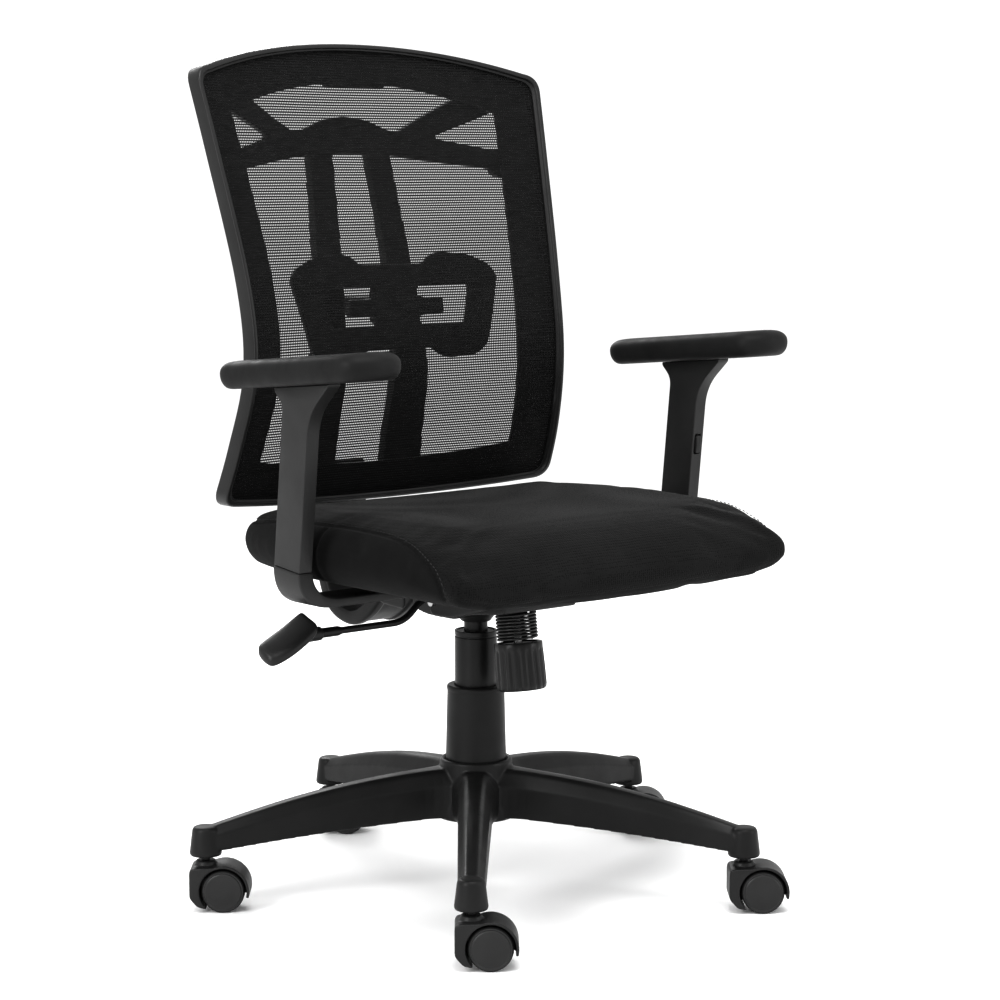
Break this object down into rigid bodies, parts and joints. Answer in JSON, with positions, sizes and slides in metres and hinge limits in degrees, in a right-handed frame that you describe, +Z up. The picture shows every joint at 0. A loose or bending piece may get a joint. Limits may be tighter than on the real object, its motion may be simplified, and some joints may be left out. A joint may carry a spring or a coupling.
{
  "type": "swivel office chair",
  "caption": "Swivel chair with padded seat, see-through mesh back, sliding lumbar pad, height-adjustable arms, gas lift column and star base on casters.",
  "frame": {"origin": "on the floor under the middle of the chair's box; the column axis stands at x -0.0182, y -0.0134", "axes": "+Z up, -Y is the way the sitter faces, +X is the sitter's left"},
  "size_m": [0.7083, 0.6849, 1.006],
  "materials": {
    "moulded_nylon": "satin fine-grained moulded nylon",
    "wheel_tread": "smooth soft tread",
    "painted_steel": "satin black powder coat",
    "bare_steel": "turned, lightly oiled",
    "pad_skin": "soft moulded foam skin",
    "seat_fabric": "spacer-mesh polyester",
    "mesh_fabric": "open woven polyester mesh"
  },
  "bodies": {
    "base": {"five_star_base": "moulded_nylon", "column_cover": "moulded_nylon", "gas_lift_tube": "painted_steel", "gas_lift_bush": "moulded_nylon"},
    "lift_rod": {"piston_rod": "bare_steel", "thrust_bearing": "bare_steel"},
    "mechanism": {"gas_lift_spindle": "painted_steel", "mechanism_housing": "painted_steel", "tilt_pivot_pin": "bare_steel", "tension_spring": "painted_steel"},
    "valve": {"valve_button": "bare_steel"},
    "tension_bolt": {"tension_bolt": "bare_steel"},
    "tension_knob": {"tension_knob": "moulded_nylon"},
    "tilt_lock": {"lever_bush": "moulded_nylon"},
    "lever": {"lever_rod": "painted_steel", "lever_handle": "moulded_nylon"},
    "seat": {"tilt_plate": "painted_steel", "seat_pan": "moulded_nylon", "seat_cushion": "seat_fabric", "back_bar": "moulded_nylon", "back_bracket": "moulded_nylon", "back_frame": "moulded_nylon", "back_mesh": "mesh_fabric", "arm_bracket_right": "moulded_nylon", "arm_upright_right": "painted_steel", "arm_bracket_left": "moulded_nylon", "arm_upright_left": "painted_steel"},
    "arm_right": {"arm_sleeve_right": "moulded_nylon", "arm_pad_right": "pad_skin"},
    "arm_left": {"arm_sleeve_left": "moulded_nylon", "arm_pad_left": "pad_skin"},
    "button_right": {"arm_button_right": "moulded_nylon"},
    "button_left": {"arm_button_left": "moulded_nylon"},
    "lumbar": {"lumbar_support": "moulded_nylon", "lumbar_slider": "moulded_nylon"},
    "caster_1": {"caster_stem_1": "bare_steel", "caster_housing_1": "moulded_nylon"},
    "wheels_1": {"caster_axle_1": "bare_steel", "caster_wheel_1a": "wheel_tread", "caster_wheel_1b": "wheel_tread"},
    "caster_2": {"caster_stem_2": "bare_steel", "caster_housing_2": "moulded_nylon"},
    "wheels_2": {"caster_axle_2": "bare_steel", "caster_wheel_2a": "wheel_tread", "caster_wheel_2b": "wheel_tread"},
    "caster_3": {"caster_stem_3": "bare_steel", "caster_housing_3": "moulded_nylon"},
    "wheels_3": {"caster_axle_3": "bare_steel", "caster_wheel_3a": "wheel_tread", "caster_wheel_3b": "wheel_tread"},
    "caster_4": {"caster_stem_4": "bare_steel", "caster_housing_4": "moulded_nylon"},
    "wheels_4": {"caster_axle_4": "bare_steel", "caster_wheel_4a": "wheel_tread", "caster_wheel_4b": "wheel_tread"},
    "caster_5": {"caster_stem_5": "bare_steel", "caster_housing_5": "moulded_nylon"},
    "wheels_5": {"caster_axle_5": "bare_steel", "caster_wheel_5a": "wheel_tread", "caster_wheel_5b": "wheel_tread"}
  },
  "joints": [
    {"name": "seat_swivel", "type": "hinge", "parent": "base", "child": "lift_rod", "pos_m": [-0.0182, -0.0134, 0.0904], "axis": [0, 0, 1], "continuous": true},
    {"name": "seat_lift", "type": "slide", "parent": "lift_rod", "child": "mechanism", "axis": [0, 0, 1], "range_m": [0, 0.1]},
    {"name": "seat_tilt", "type": "hinge", "parent": "mechanism", "child": "seat", "pos_m": [-0.0182, -0.0434, 0.358], "axis": [-1, 0, 0], "range_deg": [0, 12], "stiffness_Nm_per_rad": 60, "springref_deg": -28.65},
    {"name": "tension_pull", "type": "slide", "parent": "mechanism", "child": "tension_bolt", "axis": [0, 0.1305, 0.9914], "range_m": [0, 0.009], "deforming": ["tension_spring"]},
    {"name": "tension_turn", "type": "hinge", "parent": "tension_bolt", "child": "tension_knob", "pos_m": [-0.0182, -0.0943, 0.28], "axis": [0, 0.1305, 0.9914], "range_deg": [-900, 900]},
    {"name": "tilt_lock", "type": "slide", "parent": "mechanism", "child": "tilt_lock", "axis": [-1, 0, 0], "range_m": [0, 0.012]},
    {"name": "lever_lift", "type": "hinge", "parent": "tilt_lock", "child": "lever", "pos_m": [-0.0482, -0.0134, 0.358], "axis": [0, 1, 0], "range_deg": [0, 3.5], "stiffness_Nm_per_rad": 1, "springref_deg": -5.73},
    {"name": "valve_press", "type": "slide", "parent": "mechanism", "child": "valve", "axis": [0, 0, -1], "range_m": [0, 0.0025]},
    {"name": "arm_right_height", "type": "slide", "parent": "seat", "child": "arm_right", "axis": [0, -0.1045, 0.9945], "range_m": [0, 0.07]},
    {"name": "arm_left_height", "type": "slide", "parent": "seat", "child": "arm_left", "axis": [0, -0.1045, 0.9945], "range_m": [0, 0.07]},
    {"name": "arm_right_button", "type": "slide", "parent": "arm_right", "child": "button_right", "axis": [0, -0.9945, -0.1045], "range_m": [0, 0.0025], "stiffness_N_per_m": 400, "springref_m": -0.001},
    {"name": "arm_left_button", "type": "slide", "parent": "arm_left", "child": "button_left", "axis": [0, 0.9945, 0.1045], "range_m": [0, 0.0025], "stiffness_N_per_m": 400, "springref_m": -0.001},
    {"name": "lumbar_height", "type": "slide", "parent": "seat", "child": "lumbar", "axis": [0, 0.1191, 0.9929], "range_m": [-0.025, 0.025]},
    {"name": "caster_1_swivel", "type": "hinge", "parent": "base", "child": "caster_1", "pos_m": [-0.23078, -0.26318, 0.062], "axis": [0, 0, 1], "continuous": true},
    {"name": "caster_1_roll", "type": "hinge", "parent": "caster_1", "child": "wheels_1", "pos_m": [-0.21458, -0.27654, 0.025], "axis": [0.6361, 0.7716, 0], "continuous": true},
    {"name": "caster_2_swivel", "type": "hinge", "parent": "base", "child": "caster_2", "pos_m": [0.15367, -0.29277, 0.062], "axis": [0, 0, 1], "continuous": true},
    {"name": "caster_2_roll", "type": "hinge", "parent": "caster_2", "child": "wheels_2", "pos_m": [0.16987, -0.30612, 0.025], "axis": [0.6361, 0.7716, 0], "continuous": true},
    {"name": "caster_3_swivel", "type": "hinge", "parent": "base", "child": "caster_3", "pos_m": [0.3006, 0.06373, 0.062], "axis": [0, 0, 1], "continuous": true},
    {"name": "caster_3_roll", "type": "hinge", "parent": "caster_3", "child": "wheels_3", "pos_m": [0.31681, 0.05037, 0.025], "axis": [0.6361, 0.7716, 0], "continuous": true},
    {"name": "caster_4_swivel", "type": "hinge", "parent": "base", "child": "caster_4", "pos_m": [0.00696, 0.31363, 0.062], "axis": [0, 0, 1], "continuous": true},
    {"name": "caster_4_roll", "type": "hinge", "parent": "caster_4", "child": "wheels_4", "pos_m": [0.02317, 0.30028, 0.025], "axis": [0.6361, 0.7716, 0], "continuous": true},
    {"name": "caster_5_swivel", "type": "hinge", "parent": "base", "child": "caster_5", "pos_m": [-0.32145, 0.11159, 0.062], "axis": [0, 0, 1], "continuous": true},
    {"name": "caster_5_roll", "type": "hinge", "parent": "caster_5", "child": "wheels_5", "pos_m": [-0.30525, 0.09823, 0.025], "axis": [0.6361, 0.7716, 0], "continuous": true}
  ],
  "couplings": [
    {"joint": "tension_pull", "follows": "seat_tilt", "m_per_rad": 0.0402},
    {"joint": "valve_press", "follows": "lever_lift", "m_per_rad": 0.038}
  ]
}
